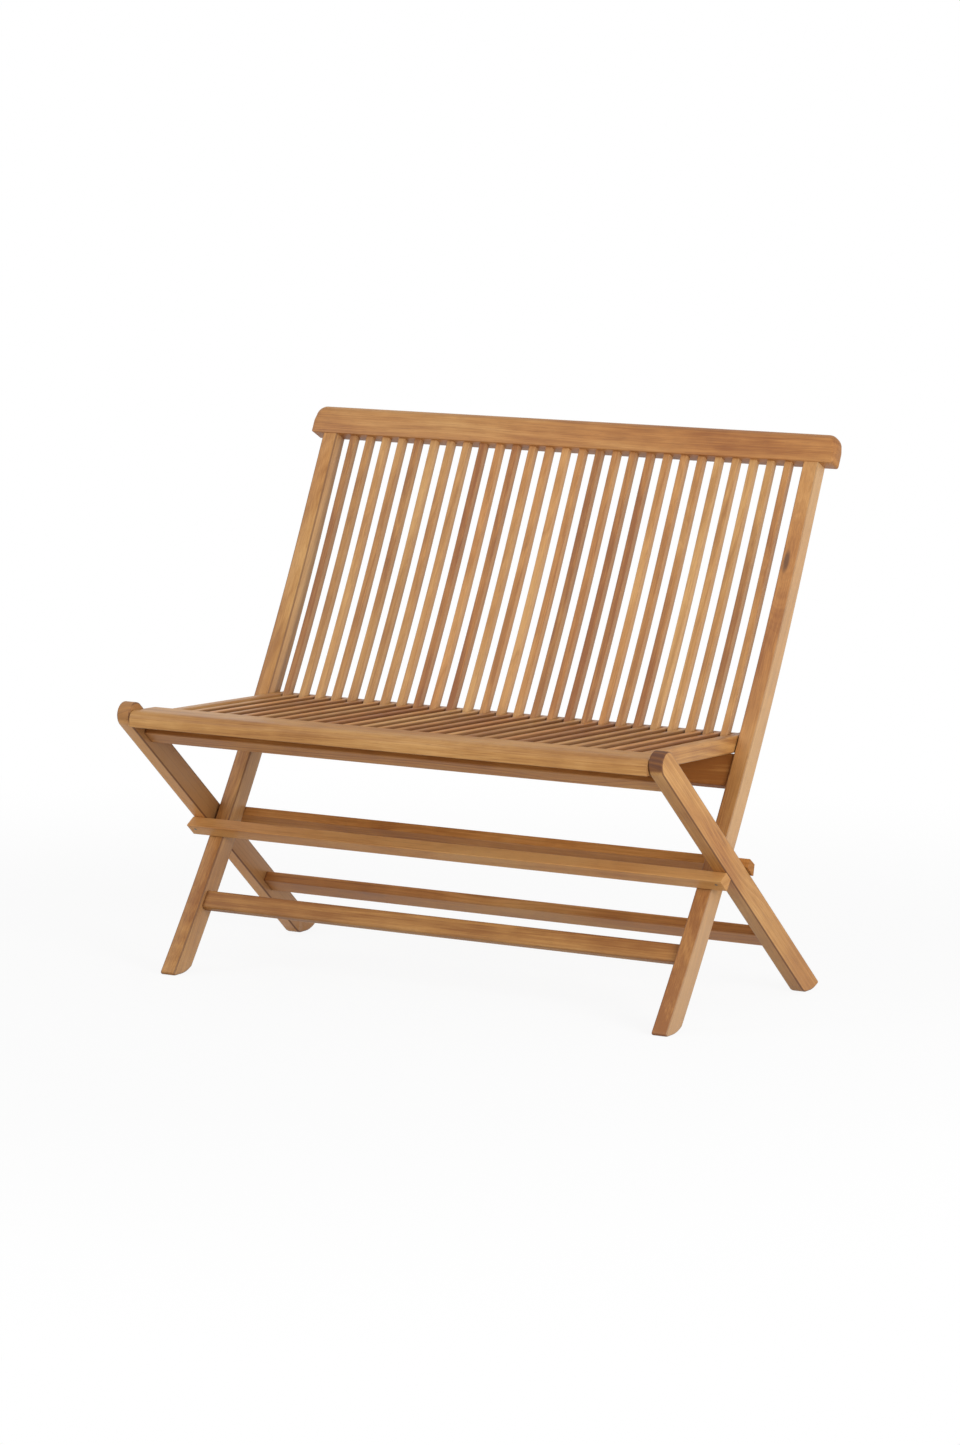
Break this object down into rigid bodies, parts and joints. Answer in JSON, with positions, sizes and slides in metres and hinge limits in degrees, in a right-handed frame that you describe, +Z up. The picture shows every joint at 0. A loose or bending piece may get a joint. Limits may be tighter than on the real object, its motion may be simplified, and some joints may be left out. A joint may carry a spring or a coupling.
{
  "type": "folding garden bench",
  "caption": "Folding slatted garden bench in teak, with crossed legs, a bowed back of upright slats and a seat whose slats pass between them.",
  "frame": {"origin": "on the floor, under the middle of the bench's width and depth", "axes": "+X along the bench, to the right of a person who faces it; +Y to its back; +Z up. The front of the seat looks along -Y."},
  "size_m": [0.974, 0.6243, 0.8837],
  "materials": {
    "teak_pale": "oiled, fine straight grain",
    "teak_golden": "oiled, fine straight grain",
    "teak_brown": "oiled, fine straight grain",
    "steel": "plain"
  },
  "bodies": {
    "back_frame": {"stile_left": "teak_golden", "stile_right": "teak_pale", "top_rail": "teak_pale", "lower_back_rail": "teak_brown", "front_stretcher": "teak_golden", "rear_mid_rail": "teak_brown", "back_slat_01": "teak_brown", "back_slat_02": "teak_pale", "back_slat_03": "teak_golden", "back_slat_04": "teak_golden", "back_slat_05": "teak_golden", "back_slat_06": "teak_brown", "back_slat_07": "teak_pale", "back_slat_08": "teak_golden", "back_slat_09": "teak_golden", "back_slat_10": "teak_golden", "back_slat_11": "teak_brown", "back_slat_12": "teak_pale", "back_slat_13": "teak_golden", "back_slat_14": "teak_golden", "back_slat_15": "teak_golden", "back_slat_16": "teak_brown", "back_slat_17": "teak_pale", "back_slat_18": "teak_golden", "back_slat_19": "teak_golden", "back_slat_20": "teak_golden", "back_slat_21": "teak_brown", "back_slat_22": "teak_pale", "back_slat_23": "teak_golden", "back_slat_24": "teak_golden", "back_slat_25": "teak_golden", "back_slat_26": "teak_brown", "back_slat_27": "teak_pale", "pivot_pins": "steel", "pivot_washers": "steel", "rear_rail_dowels": "teak_golden"},
    "leg_frame": {"leg_left": "teak_golden", "leg_right": "teak_pale", "under_rail": "teak_golden", "front_mid_rail": "teak_golden", "rear_stretcher": "teak_brown", "front_rail_dowels": "teak_golden", "seat_pins": "steel"},
    "seat": {"seat_front_rail": "teak_pale", "seat_rear_rail": "teak_golden", "seat_side_left": "teak_golden", "seat_side_right": "teak_pale", "seat_slats_01": "teak_brown", "seat_slats_02": "teak_pale", "seat_slats_03": "teak_golden", "seat_slats_04": "teak_golden", "seat_slats_05": "teak_golden", "seat_slats_06": "teak_brown", "seat_slats_07": "teak_pale", "seat_slats_08": "teak_golden", "seat_slats_09": "teak_golden", "seat_slats_10": "teak_golden", "seat_slats_11": "teak_brown", "seat_slats_12": "teak_pale", "seat_slats_13": "teak_golden"}
  },
  "joints": [
    {"name": "fold", "type": "hinge", "parent": "back_frame", "child": "leg_frame", "pos_m": [0, -0.04252, 0.22917], "axis": [-1, 0, 0], "range_deg": [0, 73.5]},
    {"name": "seat_turn", "type": "hinge", "parent": "leg_frame", "child": "seat", "pos_m": [0, -0.2894, 0.42802], "axis": [1, 0, 0], "range_deg": [0, 130]}
  ],
  "couplings": [
    {"joint": "seat_turn", "follows": "fold", "ratio": 1.73}
  ]
}
